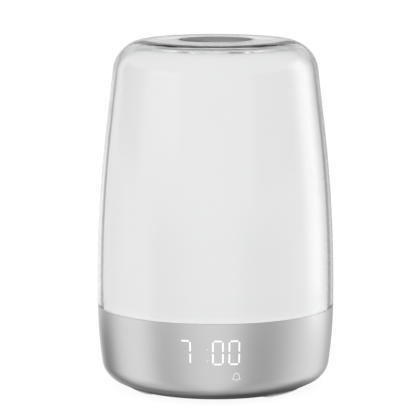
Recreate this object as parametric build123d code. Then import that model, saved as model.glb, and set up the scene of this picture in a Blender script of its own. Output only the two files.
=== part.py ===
from build123d import *
import os
from math import asin, atan2, cos, degrees, radians, sin, sqrt

# A sunrise alarm clock: a satin base with the electronics, an opal diffuser under a clear dome,
# and one large push button in a metal collar at the top.
# Millimetres. Origin on the table under the middle of the clock, +Z up, the display faces -Y.

# ---------------------------------------------------------------- driving dimensions

# Outer form
foot_height = 1.5          # stand-off of the base above the table
base_height = 42.0         # underside of the base to the seam
total_height = 182.0       # underside of the base to the flat top
body_radius = 62.5         # widest point of the outer surface
belly_height = 50.0        # underside of the base to the widest point
belly_curve = 742.0        # radius of the slow curve of the wall around the widest point
dome_taper = 6.7           # degrees from upright of the straight wall above that curve
shoulder_radius = 17.3     # rounding between wall and flat top
base_curve = 237.0         # radius of the wall below the seam
base_fillet = 11.5         # rounding between the base's wall and its underside
under_slope = 26.0         # degrees from level of the cone that rings the underside
under_radius = 48.2        # flat part of the underside

# Walls and joints of the shells
dome_wall = 2.6
base_wall = 2.4
diffuser_wall = 2.0
diffuser_side = 3.2        # outer surface of the clock to the diffuser, sideways
diffuser_top = 4.5         # the same, downwards from the flat top
lip_wall = 1.3             # wall that is left of the base where the dome's tongue laps it
lap_depth = 2.0            # height of the dome's tongue
flange_thick = 2.0         # tray flange under the tongue
slip = 0.1                 # clearance between moulded parts that slide together
window_wall = 0.9          # wall left in front of the display, thin enough to shine through
diagonal = 45.0            # the board's standoffs sit on the diagonals of the body

# Light tray and light engine
deck_thick = 2.0
deck_overlap = 0.5         # how far the flange reaches down past the deck's top
flange_reach = 2.0         # how far the flange reaches inside the diffuser
column_radius = 3.5
column_ring = 40.5
column_spread = 30.0       # degrees from the front or the back to a screw column
heat_radius = 46.0
heat_thick = 2.0
lamp_board_radius = 44.0
board_thick = 1.6
led_size = 3.5
led_thick = 0.8
outer_led_ring = 36.0
outer_led_count = 16
inner_led_ring = 20.0
inner_led_count = 8
reflector_thick = 1.2
reflector_height = 8.0
lamp_screw_ring = 33.0
small_screws = 4           # screws of the lamp board, and of the main board
boss_radius = 3.0
boss_drop = 4.0            # how far the small bosses hang below the deck

# Centre post and its lead
post_radius = 5.0
post_bore = 3.2
post_foot = 9.0
lead_radius = 1.2
lead_hole = 2.4

# Push button at the top
button_radius = 19.2
button_gap = 0.1           # running gap between button and collar
button_recess = 0.25
button_travel = 1.0
button_face = 1.8          # thickness of the button's face
button_skirt = 5.7         # face of the button to the edge of its skirt
skirt_wall = 1.4
button_edge = 0.4          # rounding round the button's face
button_stem = 3.0
collar_wall = 0.6
collar_rim = 1.0           # visible width of the collar's rim
rim_thick = 0.8
rim_edge = 0.2
cup_depth = 12.5           # flat top to the floor of the cup
cup_floor = 2.0
socket_wall = 2.0          # socket under the cup that takes the post
socket_depth = 6.0
nut_width = 5.0
nut_height = 3.5
nut_notches = 8
notch_radius = 1.75
leg_ring = 15.0
leg_width = 3.5
leg_thick = 2.0
leg_count = 3
barb = 1.0
barb_height = 2.0
leg_gap = 0.35
button_board_radius = 12.5
button_board_thick = 1.2
switch_size = 6.0
switch_height = 3.1
plunger_radius = 1.6
plunger_height = 0.9
stop_gap = 0.05            # play of a pressed key before it meets its stop
spring_radius = 6.4
spring_wire = 0.8
wire_sides = 6
spring_turns = 4

# Display
digit_width = 5.1          # centre to centre of the upright strokes
digit_height = 12.1        # centre to centre of the level strokes
stroke = 0.8
stroke_gap = 0.3           # web between the ends of two strokes
digit_x = (-16.6, -8.4, 8.4, 16.6)
digit_middle = 27.1        # above the underside
colon_x = 3.1
colon_spread = 5.8
bell_x = 17.9
bell_middle = 14.0
bell_width = 4.0
block_half = 23.0          # half the width of the display block
block_low = 11.0           # above the underside
block_high = 35.9
block_depth = 17.0         # widest point of the body to the back of the display block
wall_gap = 0.3             # light block to the wall in front of it
lug_x = 19.0
lug_width = 5.0
lug_thick = 2.0
lug_drop = 16.0

# Electronics
main_board_radius = 36.0
main_board_drop = 7.4      # deck to the top of the main board
standoff_ring = 31.0
chip_size = 10.0
chip_thick = 1.6
chip_place = (16.0, 10.0)
capacitor_radius = 4.0
capacitor_height = 6.0
capacitor_edge = 0.6
capacitor_places = ((-20.0, 0.0), (-20.0, 12.0))
cell_radius = 10.0
cell_thick = 3.2
cell_edge = 0.5
holder_wall = 1.0
holder_floor = 0.6
cell_y = -18.0

# Rear panel, its keys and the power socket
panel_width = 48.0
panel_low = 13.0           # above the underside
panel_high = 34.5
panel_corner = 4.0
panel_sink = 6.5           # widest point of the body to the face of the panel
panel_thick = 2.0
panel_rim = 1.4
panel_inset = 0.4          # rim below the outer surface
key_names = ("clock_key", "alarm_key", "minus_key", "plus_key", "sound_key")
key_pitch = 9.0
key_level = 28.0           # above the underside
key_width = 7.0
key_height = 4.6
key_proud = 1.2
key_travel = 0.8
key_gap = 0.2
key_flange = 0.8
key_stem = 0.3             # stem behind the flange
key_chamfer = 0.5
rear_board_width = 44.0
rear_board_height = 9.8
rear_board_rise = 1.0      # middle of the board above the keys
panel_post = 1.2
panel_post_x = 13.5
jack_level = 19.5          # above the underside
jack_nose = 4.0
jack_edge = 0.4
jack_size = 8.5
jack_depth = 11.0
jack_bore = 2.85
jack_bore_depth = 9.5
jack_pin_radius = 1.0
jack_pin_edge = 0.5
jack_pin_short = 1.0       # mouth of the socket to the tip of its pin

# Speaker
speaker_radius = 20.0
speaker_flange = 1.5
speaker_flange_width = 3.0
speaker_depth = 8.0
speaker_neck = 11.0
sheet = 0.8
cone_throat = 5.5
cone_thick = 0.5
cone_rise = 4.8            # edge of the cone to its throat
cone_edge = 2.0
magnet_radius = 12.0
magnet_height = 7.0
magnet_edge = 0.8
gasket_thick = 1.0
seat_ring = 1.5

# Bottom cover and fasteners
opening_radius = 45.5
rebate_width = 2.1
rebate_depth = 1.2
cover_thick = 2.4
cover_boss = 2.0           # extra height of the cover round its screws
cover_boss_radius = 4.8
slot_width = 2.0
slot_pitch = 4.0
slot_field = 16.0          # radius of the field of speaker slots
foot_ring = 43.4           # middle line of the arc-shaped feet
foot_width = 6.0
foot_angles = (60.0, 120.0, 240.0, 300.0)
foot_span = 30.0           # degrees between the centres of a foot's rounded ends
foot_seat = 0.5
foot_chamfer = 0.3
head_radius = 2.9
head_height = 2.2
head_sink = 0.4
shank_radius = 1.45
shank_gap = 0.05
cover_shank = 10.0
small_head_radius = 2.5
small_head_height = 1.6
small_shank_radius = 1.2
small_shank = 5.0

# ---------------------------------------------------------------- levels and places worked out

under_z = foot_height
seam_z = under_z + base_height
top_z = under_z + total_height
belly_z = under_z + belly_height

belly_centre_r = body_radius - belly_curve
seam_angle = asin((seam_z - belly_z) / belly_curve)
seam_radius = belly_centre_r + belly_curve * cos(seam_angle)
base_centre_r = seam_radius - base_curve * cos(seam_angle)
base_centre_z = seam_z - base_curve * sin(seam_angle)

flange_top = seam_z - lap_depth
ledge_z = flange_top - flange_thick
deck_top = ledge_z + deck_overlap
deck_low = deck_top - deck_thick
lip_radius = seam_radius - lip_wall
tongue_radius = lip_radius - slip

heat_top = deck_top + heat_thick
lamp_board_top = heat_top + board_thick

rim_radius = button_radius + button_gap + collar_rim
collar_bore = button_radius + button_gap
collar_radius = collar_bore + collar_wall
cup_floor_top = top_z - cup_depth
cup_floor_low = cup_floor_top - cup_floor
button_top = top_z - button_recess
button_under = button_top - button_face
button_board_top = cup_floor_top + button_board_thick
plunger_top = button_board_top + switch_height + plunger_height

block_back = body_radius - block_depth
main_board_top = deck_low - main_board_drop
main_board_low = main_board_top - board_thick

panel_face = body_radius - panel_sink
panel_back = panel_face - panel_thick
key_z = under_z + key_level
key_back = panel_back - stop_gap - key_flange
stem_tip = key_back - key_stem
rear_switch_front = stem_tip - key_travel - stop_gap
rear_board_front = rear_switch_front - plunger_height - switch_height
jack_z = under_z + jack_level

cover_top = under_z + cover_thick
column_low = cover_top + cover_boss
gasket_top = cover_top + gasket_thick
flange_level = gasket_top + speaker_flange
column_x = column_ring * sin(radians(column_spread))
column_y = column_ring * cos(radians(column_spread))
columns = [(x, y) for x in (-column_x, column_x) for y in (-column_y, column_y)]


def ring_of(count, radius, first=0.0):
    """Evenly spaced places on a circle, as (x, y, degrees)."""
    turns = [first + 360.0 * i / count for i in range(count)]
    return [(radius * cos(radians(a)), radius * sin(radians(a)), a) for a in turns]


# ---------------------------------------------------------------- building helpers


def turned(*outline):
    """Solid turned about the Z axis from the edges of one closed (radius, height) outline."""
    return revolve(Plane.XZ * make_face(list(outline)), Axis.Z)


def turned_points(*points):
    """Solid turned about the Z axis from the corners of its (radius, height) section."""
    return turned(*Polyline(*points, close=True).edges())


def disc(radius, low, high, x=0.0, y=0.0):
    return Pos(x, y, low) * extrude(Circle(radius), high - low)


def tube(outer, inner, low, high, x=0.0, y=0.0):
    return disc(outer, low, high, x, y) - disc(inner, low, high, x, y)


def block(x, y, z):
    """Box from three (low, high) pairs."""
    size = [high - low for low, high in (x, y, z)]
    middle = [(high + low) / 2 for low, high in (x, y, z)]
    return Pos(*middle) * Box(*size)


def rearward(outline, x, z, start, end):
    """Outline in the X-Z plane, drawn out along +Y from start to end."""
    flat = Plane(origin=(x, start, z), x_dir=(-1, 0, 0), z_dir=(0, 1, 0))
    return flat * extrude(outline, end - start)


def arc_between(centre, radius, first, last):
    """Arc about a (radius, height) centre, between two angles in radians."""
    return CenterArc((*centre, 0), radius, degrees(first), degrees(last - first))


def base_radius_at(z, inset=0.0):
    """Radius of the base's wall at a height, moved inwards by the inset."""
    return base_centre_r + sqrt((base_curve - inset) ** 2 - (z - base_centre_z) ** 2)


def base_form(inset, ceiling):
    """Solid inside the base's outer surface, moved inwards by the inset, up to a ceiling."""
    slope = radians(under_slope)
    along = (cos(slope), sin(slope))
    # The fillet's centre lies on a line beside the cone and on a circle inside the wall.
    start = (under_radius - base_fillet * along[1], under_z + base_fillet * along[0])
    to_start = (start[0] - base_centre_r, start[1] - base_centre_z)
    half = to_start[0] * along[0] + to_start[1] * along[1]
    reach = base_curve - base_fillet
    step = -half + sqrt(half**2 - to_start[0] ** 2 - to_start[1] ** 2 + reach**2)
    centre = (start[0] + step * along[0], start[1] + step * along[1])
    wall_angle = atan2(centre[1] - base_centre_z, centre[0] - base_centre_r)
    cone_angle = slope - radians(90)

    wall = base_curve - inset
    rounding = base_fillet - inset
    floor = under_z + inset
    floor_r = under_radius - inset * along[1] + inset * (1 - along[0]) / along[1] * along[0]
    cone_end = (centre[0] + rounding * cos(cone_angle), centre[1] + rounding * sin(cone_angle))
    top_angle = asin((ceiling - base_centre_z) / wall)
    top_r = base_centre_r + wall * cos(top_angle)
    return turned(
        Line((0, floor), (floor_r, floor)),
        Line((floor_r, floor), cone_end),
        arc_between(centre, rounding, cone_angle, wall_angle),
        arc_between((base_centre_r, base_centre_z), wall, wall_angle, top_angle),
        Line((top_r, ceiling), (0, ceiling)),
        Line((0, ceiling), (0, floor)),
    )


def dome_form(side, top, floor):
    """Solid inside the dome's outer surface, moved inwards and down, from a floor upwards."""
    taper = radians(dome_taper)
    curve = belly_curve - side
    rounding = shoulder_radius - side
    ceiling = top_z - top
    first = asin((floor - belly_z) / curve)
    bend = (belly_centre_r + curve * cos(taper), belly_z + curve * sin(taper))
    run = (ceiling - rounding - bend[1] + rounding * sin(taper)) / cos(taper)
    shoulder = (bend[0] - run * sin(taper), bend[1] + run * cos(taper))
    centre = (shoulder[0] - rounding * cos(taper), shoulder[1] - rounding * sin(taper))
    floor_r = belly_centre_r + curve * cos(first)
    return turned(
        Line((0, floor), (floor_r, floor)),
        arc_between((belly_centre_r, belly_z), curve, first, taper),
        Line(bend, shoulder),
        arc_between(centre, rounding, taper, radians(90)),
        Line((centre[0], ceiling), (0, ceiling)),
        Line((0, ceiling), (0, floor)),
    )


def screw(head, height, shank, length):
    """Cheese-head screw with its head's top at the origin, pointing down -Z."""
    return disc(head, -height, 0) + disc(shank, -height - length, -height)


# ---------------------------------------------------------------- shells


def make_outer_dome():
    """Clear dome: an even wall, a lapped tongue at the foot and a stepped hole for the collar."""
    dome = dome_form(0, 0, seam_z) + disc(tongue_radius, flange_top, seam_z)
    dome -= dome_form(dome_wall, dome_wall, flange_top)
    dome -= disc(collar_radius + slip, top_z - dome_wall, top_z)
    return dome - disc(rim_radius + slip, top_z - rim_thick, top_z)


def make_light_diffuser():
    """Opal shell inside the dome, standing on the tray's flange."""
    inner_side = diffuser_side + diffuser_wall
    inner_top = diffuser_top + diffuser_wall
    shell = dome_form(diffuser_side, diffuser_top, flange_top)
    shell -= dome_form(inner_side, inner_top, flange_top)
    return shell - disc(collar_radius + slip, top_z - inner_top, top_z - diffuser_top)


def make_base_housing():
    """Moulded bowl with a lap at its rim, an opening below, a thin window and a rear opening."""
    shell = base_form(0, seam_z) - base_form(base_wall, seam_z)
    shell -= disc(lip_radius, ledge_z, seam_z)
    shell -= disc(opening_radius, under_z, cover_top)
    shell -= disc(opening_radius + rebate_width, under_z, under_z + rebate_depth)
    thin = block(
        (-block_half - wall_gap, block_half + wall_gap),
        (-body_radius, -block_back),
        (under_z + block_low - wall_gap, under_z + block_high + wall_gap),
    )
    shell -= base_form(window_wall, seam_z) & thin
    return shell - panel_block(0, panel_back - base_wall, body_radius)


def make_light_tray():
    """White chassis: a deck with a flange, screw columns, small bosses and lugs for the display."""
    deck_radius = base_radius_at(ledge_z, base_wall) - 2 * slip
    flange_inner = base_radius_at(seam_z) - diffuser_side - diffuser_wall - flange_reach
    tray = disc(deck_radius, deck_low, deck_top)
    tray += tube(tongue_radius, flange_inner, ledge_z, flange_top)
    for x, y in columns:
        tray += disc(column_radius, column_low, deck_low, x, y)
        tray -= disc(shank_radius + shank_gap, column_low, column_low + cover_shank, x, y)
    for x, y, _ in ring_of(small_screws, lamp_screw_ring):
        tray += disc(boss_radius, deck_low - boss_drop, deck_low, x, y)
        tray -= disc(small_shank_radius + shank_gap, deck_low - boss_drop, deck_top, x, y)
    for x, y, _ in ring_of(small_screws, standoff_ring, diagonal):
        tray += disc(boss_radius, main_board_top, deck_low, x, y)
        tray -= disc(small_shank_radius + shank_gap, main_board_top, deck_low, x, y)
    lug_front = -block_back + board_thick
    for x in (-lug_x, lug_x):
        tray += block(
            (x - lug_width / 2, x + lug_width / 2),
            (lug_front, lug_front + lug_thick),
            (deck_low - lug_drop, deck_low),
        )
    return tray - disc(post_bore, deck_low, deck_top)


# ---------------------------------------------------------------- light engine and post


def make_heat_plate():
    plate = disc(heat_radius, deck_top, heat_top) - disc(post_foot + slip, deck_top, heat_top)
    for x, y, _ in ring_of(small_screws, lamp_screw_ring):
        plate -= disc(small_shank_radius + shank_gap, deck_top, heat_top, x, y)
    return plate


def make_lamp_board():
    board = disc(lamp_board_radius, heat_top, lamp_board_top)
    board -= disc(post_radius + slip, heat_top, lamp_board_top)
    for x, y, _ in ring_of(small_screws, lamp_screw_ring):
        board -= disc(small_shank_radius + shank_gap, heat_top, lamp_board_top, x, y)
    return board


def make_lamp_leds():
    """Two rings of light-emitting chips, each turned to face the middle."""
    chips = []
    for radius, count in ((outer_led_ring, outer_led_count), (inner_led_ring, inner_led_count)):
        for x, y, angle in ring_of(count, radius, 180.0 / count):
            chip = Pos(0, 0, led_thick / 2) * Box(led_size, led_size, led_thick)
            chips.append(Pos(x, y, lamp_board_top) * Rot(0, 0, angle) * chip)
    return chips


def make_lamp_screws():
    place = lamp_board_top + small_head_height
    one = screw(small_head_radius, small_head_height, small_shank_radius, small_shank)
    return [Pos(x, y, place) * one for x, y, _ in ring_of(small_screws, lamp_screw_ring)]


def make_lamp_reflector():
    """White cone that stands on the heat plate and turns stray light up into the diffuser."""
    inner = lamp_board_radius + slip
    outer = base_radius_at(seam_z) - diffuser_side - diffuser_wall - wall_gap
    rise = heat_top + reflector_height
    return turned_points(
        (inner, heat_top),
        (heat_radius, heat_top),
        (outer, rise - reflector_thick),
        (outer, rise),
        (outer - reflector_thick, rise),
        (inner, heat_top + 2 * reflector_thick),
    )


def make_centre_post():
    """Tube that holds up the button's cup, with a foot that the lamp board traps."""
    post = disc(post_radius, deck_top, cup_floor_low) + disc(post_foot, deck_top, heat_top)
    return post - disc(post_bore, deck_top, cup_floor_low)


def make_button_lead():
    return disc(lead_radius, main_board_top, cup_floor_top)


# ---------------------------------------------------------------- button at the top


def make_button_collar():
    """Metal cup with a visible rim, slots for the button's legs and a socket for the post."""
    cup = disc(collar_radius, cup_floor_low, top_z) + disc(rim_radius, top_z - rim_thick, top_z)
    cup = chamfer(cup.edges().sort_by(Axis.Z)[-1], rim_edge)
    cup -= disc(collar_bore, cup_floor_top, top_z)
    cup += disc(post_radius + socket_wall, cup_floor_low - socket_depth, cup_floor_low)
    cup -= disc(post_radius + shank_gap, cup_floor_low - socket_depth, cup_floor_low)
    cup -= disc(lead_hole, cup_floor_low, cup_floor_top)
    for _, _, angle in ring_of(leg_count, leg_ring):
        slot = block(
            (leg_ring - leg_thick / 2 - leg_gap, leg_ring + leg_thick / 2 + barb + leg_gap),
            (-leg_width / 2 - leg_gap, leg_width / 2 + leg_gap),
            (cup_floor_low, cup_floor_top),
        )
        cup -= Rot(0, 0, angle) * slot
    return cup


def make_collar_nut():
    """Ring nut that clamps the collar under the diffuser, with notches for a pin spanner."""
    high = top_z - diffuser_top - diffuser_wall
    outer = collar_radius + nut_width
    nut = tube(outer, collar_radius + shank_gap, high - nut_height, high)
    for x, y, _ in ring_of(nut_notches, outer):
        nut -= disc(notch_radius, high - nut_height, high, x, y)
    return nut


def make_top_button():
    """Push button: a face with a rounded edge, a skirt, a stem and three barbed legs."""
    skirt_low = button_top - button_skirt
    face = disc(button_radius, skirt_low, button_top)
    face = fillet(face.edges().sort_by(Axis.Z)[-1], button_edge)
    face -= disc(button_radius - skirt_wall, skirt_low, button_under)
    face += disc(button_stem, plunger_top + button_travel + stop_gap, button_under)
    barb_top = cup_floor_low - stop_gap
    inner, outer = leg_ring - leg_thick / 2, leg_ring + leg_thick / 2
    half = leg_width / 2
    for _, _, angle in ring_of(leg_count, leg_ring):
        leg = block((inner, outer), (-half, half), (barb_top - barb_height, button_under))
        hook = Polyline(
            (outer, barb_top), (outer + barb, barb_top), (outer, barb_top - barb_height), close=True
        )
        leg += Pos(0, half, 0) * extrude(Plane.XZ * make_face(hook), leg_width)
        face += Rot(0, 0, angle) * leg
    return face


def make_button_spring():
    """Coil between the switch board and the underside of the button's face."""
    low = button_board_top + spring_wire / 2
    high = button_under - spring_wire / 2
    height = high - low
    path = Helix(height / spring_turns, height, spring_radius, center=(0, 0, low))
    wire = Plane(origin=path @ 0, z_dir=path % 0) * RegularPolygon(spring_wire / 2, wire_sides)
    return sweep(wire, path)


def make_button_board():
    return disc(button_board_radius, cup_floor_top, button_board_top)


def make_button_switch():
    half = switch_size / 2
    case_top = button_board_top + switch_height
    case = block((-half, half), (-half, half), (button_board_top, case_top))
    return case + disc(plunger_radius, case_top, plunger_top)


# ---------------------------------------------------------------- display


def seven_segments(x):
    """Openings of one figure, as small boxes in the X-Z plane, around its middle."""
    long = digit_height / 2 - stroke - stroke_gap
    across = digit_width - stroke - stroke_gap
    middle = under_z + digit_middle
    cells = []
    for level in (-digit_height / 2, 0.0, digit_height / 2):
        cells.append((x, middle + level, across, stroke))
    for side in (-digit_width / 2, digit_width / 2):
        for level in (-digit_height / 4, digit_height / 4):
            cells.append((x + side, middle + level, stroke, long))
    return cells


def make_display_block():
    """Dark light guide behind the thin wall, with a well for every stroke, colon dot and bell."""
    body = block(
        (-block_half, block_half),
        (-body_radius, -block_back),
        (under_z + block_low, under_z + block_high),
    )
    body &= base_form(window_wall + wall_gap, seam_z)
    cells = [cell for x in digit_x for cell in seven_segments(x)]
    middle = under_z + digit_middle
    for level in (-colon_spread / 2, colon_spread / 2):
        cells.append((colon_x, middle + level, stroke, stroke))
    cells.append((bell_x, under_z + bell_middle, bell_width, bell_width))
    wells = [rearward(Rectangle(w, h), x, z, -body_radius, -block_back) for x, z, w, h in cells]
    return body - wells


def make_display_board():
    return block(
        (-block_half, block_half),
        (-block_back, -block_back + board_thick),
        (under_z + block_low, under_z + block_high),
    )


# ---------------------------------------------------------------- electronics in the base


def make_main_board():
    board = disc(main_board_radius, main_board_low, main_board_top)
    for x, y, _ in ring_of(small_screws, standoff_ring, diagonal):
        board -= disc(small_shank_radius + shank_gap, main_board_low, main_board_top, x, y)
    return board


def make_board_screws():
    place = main_board_low - small_head_height
    one = screw(small_head_radius, small_head_height, small_shank_radius, small_shank)
    corners = ring_of(small_screws, standoff_ring, diagonal)
    return [Pos(x, y, place) * Rot(180, 0, 0) * one for x, y, _ in corners]


def make_processor_chip():
    half = chip_size / 2
    x, y = chip_place
    chip_top = main_board_top + chip_thick
    return block((x - half, x + half), (y - half, y + half), (main_board_top, chip_top))


def make_capacitors():
    cans = []
    top = main_board_top + capacitor_height
    for x, y in capacitor_places:
        can = disc(capacitor_radius, main_board_top, top, x, y)
        cans.append(chamfer(can.edges().sort_by(Axis.Z)[-1], capacitor_edge))
    return cans


def make_cell_holder():
    """Shallow cup for the backup cell."""
    bore = cell_radius + slip
    floor = main_board_top + holder_floor
    holder = disc(bore + holder_wall, main_board_top, floor + cell_thick, 0, cell_y)
    return holder - disc(bore, floor, floor + cell_thick, 0, cell_y)


def make_backup_cell():
    low = main_board_top + holder_floor
    cell = disc(cell_radius, low, low + cell_thick, 0, cell_y)
    return chamfer(cell.edges().sort_by(Axis.Z)[-1], cell_edge)


# ---------------------------------------------------------------- rear panel


def panel_block(shrink, start, end):
    """Rounded block the size of the rear opening, less a margin all round."""
    high, low = under_z + panel_high, under_z + panel_low
    outline = RectangleRounded(
        panel_width - 2 * shrink, high - low - 2 * shrink, panel_corner - shrink
    )
    return rearward(outline, 0, (high + low) / 2, start, end)


def key_places():
    first = -key_pitch * (len(key_names) - 1) / 2
    return [(name, first + key_pitch * i) for i, name in enumerate(key_names)]


def make_rear_panel():
    """Flat panel at the bottom of a recess whose rim follows the wall of the base."""
    panel = panel_block(0, panel_back, body_radius) - panel_block(panel_rim, panel_face, body_radius)
    panel &= base_form(panel_inset, seam_z)
    for _, x in key_places():
        hole = SlotOverall(key_width + 2 * key_gap, key_height + 2 * key_gap)
        panel -= rearward(hole, x, key_z, panel_back, panel_face)
    panel -= rearward(Circle(jack_nose + slip), 0, jack_z, panel_back, panel_face)
    post_z = key_z + rear_board_rise + rear_board_height / 2 - panel_post
    for x in (-panel_post_x, panel_post_x):
        panel += rearward(Circle(panel_post), x, post_z, rear_board_front, panel_back)
    return panel


def make_key(x):
    """Key with a chamfered face, a flange that stops it behind the panel and a short stem."""
    cap = rearward(SlotOverall(key_width, key_height), x, key_z, key_back, panel_face + key_proud)
    cap = chamfer(cap.faces().sort_by(Axis.Y)[-1].edges(), key_chamfer)
    flange = SlotOverall(key_width + 2 * key_flange, key_height + 2 * key_flange)
    cap += rearward(flange, x, key_z, key_back, key_back + key_flange)
    return cap + rearward(Circle(plunger_radius), x, key_z, stem_tip, key_back)


def make_rear_board():
    board = Rectangle(rear_board_width, rear_board_height)
    middle = key_z + rear_board_rise
    return rearward(board, 0, middle, rear_board_front - board_thick, rear_board_front)


def make_rear_switches():
    """One small push switch behind each key."""
    switches = []
    case_front = rear_board_front + switch_height
    for _, x in key_places():
        case = rearward(Rectangle(switch_size, switch_size), x, key_z, rear_board_front, case_front)
        plunger = rearward(Circle(plunger_radius), x, key_z, case_front, rear_switch_front)
        switches.append(case + plunger)
    return switches


def make_power_jack():
    """Round power socket: a square case behind the panel with a nose through it and a blind bore."""
    case = rearward(Rectangle(jack_size, jack_size), 0, jack_z, panel_back - jack_depth, panel_back)
    case += rearward(Circle(jack_nose), 0, jack_z, panel_back, panel_face)
    case = chamfer(case.edges().filter_by(GeomType.CIRCLE).sort_by(Axis.Y)[-1], jack_edge)
    return case - rearward(Circle(jack_bore), 0, jack_z, panel_face - jack_bore_depth, panel_face)


def make_jack_pin():
    start = panel_face - jack_bore_depth
    pin = rearward(Circle(jack_pin_radius), 0, jack_z, start, panel_face - jack_pin_short)
    return chamfer(pin.edges().sort_by(Axis.Y)[-1], jack_pin_edge)


# ---------------------------------------------------------------- speaker


def make_speaker_frame():
    """Pressed basket: a flat flange and a cone of sheet up to the magnet."""
    rim = speaker_radius - speaker_flange_width
    neck_z = flange_level + speaker_depth
    return turned_points(
        (rim, gasket_top),
        (speaker_radius, gasket_top),
        (speaker_radius, flange_level),
        (rim + sheet, flange_level),
        (speaker_neck + sheet, neck_z),
        (cone_throat, neck_z),
        (cone_throat, neck_z - sheet),
        (speaker_neck, neck_z - sheet),
        (rim, flange_level - sheet),
    )


def make_speaker_cone():
    """Paper cone glued into the basket's rim, with a dust cap and the tube of its voice coil."""
    rim = speaker_radius - speaker_flange_width
    throat_z = gasket_top + cone_rise
    coil_top = flange_level + speaker_depth - sheet
    coil = cone_throat - slip
    return turned_points(
        (rim, gasket_top),
        (rim, gasket_top + cone_thick),
        (rim - cone_edge, gasket_top + cone_thick),
        (coil, throat_z),
        (coil, coil_top),
        (coil - cone_thick, coil_top),
        (coil - cone_thick, throat_z),
        (0, throat_z),
        (0, throat_z - cone_thick),
        (coil, throat_z - cone_thick),
        (rim - cone_edge, gasket_top),
    )


def make_speaker_magnet():
    low = flange_level + speaker_depth
    magnet = disc(magnet_radius, low, low + magnet_height)
    return chamfer(magnet.edges().sort_by(Axis.Z)[-1], magnet_edge)


def make_speaker_gasket():
    return tube(speaker_radius, speaker_radius - speaker_flange_width, cover_top, gasket_top)


# ---------------------------------------------------------------- bottom cover, screws and feet


def foot_arc(angle, margin, low, high):
    """Arc-shaped pad with rounded ends, at an angle from the front, with a margin all round."""
    line = CenterArc((0, 0), foot_ring, angle - 90 - foot_span / 2, foot_span)
    return Pos(0, 0, low) * extrude(SlotArc(line, foot_width + 2 * margin), high - low)


def make_bottom_cover():
    """Plate that plugs the base, with speaker slots, screw bosses, foot seats and a speaker ring."""
    cover = disc(opening_radius - slip, under_z, cover_top)
    cover += disc(opening_radius + rebate_width - slip, under_z, under_z + rebate_depth)
    cover += tube(speaker_radius + slip + seat_ring, speaker_radius + slip, cover_top, flange_level)
    for x, y in columns:
        cover += disc(cover_boss_radius, cover_top, column_low, x, y)
        cover -= disc(head_radius + slip, under_z, under_z + head_sink + head_height, x, y)
        cover -= disc(shank_radius + slip, under_z, column_low, x, y)
    cover -= [foot_arc(angle, slip, under_z, under_z + foot_seat) for angle in foot_angles]
    rows = int((slot_field - slot_width) / slot_pitch)
    for row in range(-rows, rows + 1):
        y = row * slot_pitch
        length = 2 * sqrt(slot_field**2 - y**2)
        cover -= Pos(0, y, under_z) * extrude(SlotOverall(length, slot_width), cover_thick)
    return cover


def make_bottom_screws():
    """Four screws from below, up through the cover into the tray's columns."""
    length = column_low + cover_shank - under_z - head_sink - head_height - slip
    one = Rot(180, 0, 0) * screw(head_radius, head_height, shank_radius, length)
    return [Pos(x, y, under_z + head_sink) * one for x, y in columns]


def make_rubber_feet():
    pads = []
    for angle in foot_angles:
        pad = foot_arc(angle, 0, 0, under_z + foot_seat)
        pads.append(chamfer(pad.faces().sort_by(Axis.Z)[0].edges(), foot_chamfer))
    return pads


# ---------------------------------------------------------------- all the pieces

pieces = {
    "outer_dome": make_outer_dome(),
    "light_diffuser": make_light_diffuser(),
    "button_collar": make_button_collar(),
    "collar_nut": make_collar_nut(),
    "top_button": make_top_button(),
    "button_spring": make_button_spring(),
    "button_board": make_button_board(),
    "button_switch": make_button_switch(),
    "centre_post": make_centre_post(),
    "button_lead": make_button_lead(),
    "lamp_reflector": make_lamp_reflector(),
    "lamp_board": make_lamp_board(),
    "lamp_leds": make_lamp_leds(),
    "lamp_screws": make_lamp_screws(),
    "heat_plate": make_heat_plate(),
    "light_tray": make_light_tray(),
    "base_housing": make_base_housing(),
    "display_block": make_display_block(),
    "display_board": make_display_board(),
    "main_board": make_main_board(),
    "board_screws": make_board_screws(),
    "processor_chip": make_processor_chip(),
    "capacitors": make_capacitors(),
    "cell_holder": make_cell_holder(),
    "backup_cell": make_backup_cell(),
    "rear_panel": make_rear_panel(),
    "rear_board": make_rear_board(),
    "rear_switches": make_rear_switches(),
    "power_jack": make_power_jack(),
    "jack_pin": make_jack_pin(),
    "speaker_frame": make_speaker_frame(),
    "speaker_cone": make_speaker_cone(),
    "speaker_magnet": make_speaker_magnet(),
    "speaker_gasket": make_speaker_gasket(),
    "bottom_cover": make_bottom_cover(),
    "bottom_screws": make_bottom_screws(),
    "rubber_feet": make_rubber_feet(),
}
for key_name, key_x in key_places():
    pieces[key_name] = make_key(key_x)

os.makedirs("parts", exist_ok=True)
for name, piece in pieces.items():
    if isinstance(piece, list):
        piece = Compound(children=piece)
    export_step(piece, os.path.join("parts", name + ".step"))
print(len(pieces), "nodes written")
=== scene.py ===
# %% [markdown]
# # Dressing a sunrise alarm clock
# The imported model is the frame: every piece already sits at its real size and place, in metres.
# This lesson gives each piece the surface that the real one has. The shells that show become
# smooth turned meshes, the small mouldings get soft edges, and every material is built from nodes.
# Loading comes first, together with a helper that reads the box round each piece of the frame.

# %% Load the frame
import math
from contextlib import contextmanager

import bmesh
import bpy
from mathutils import Matrix, Vector


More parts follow.
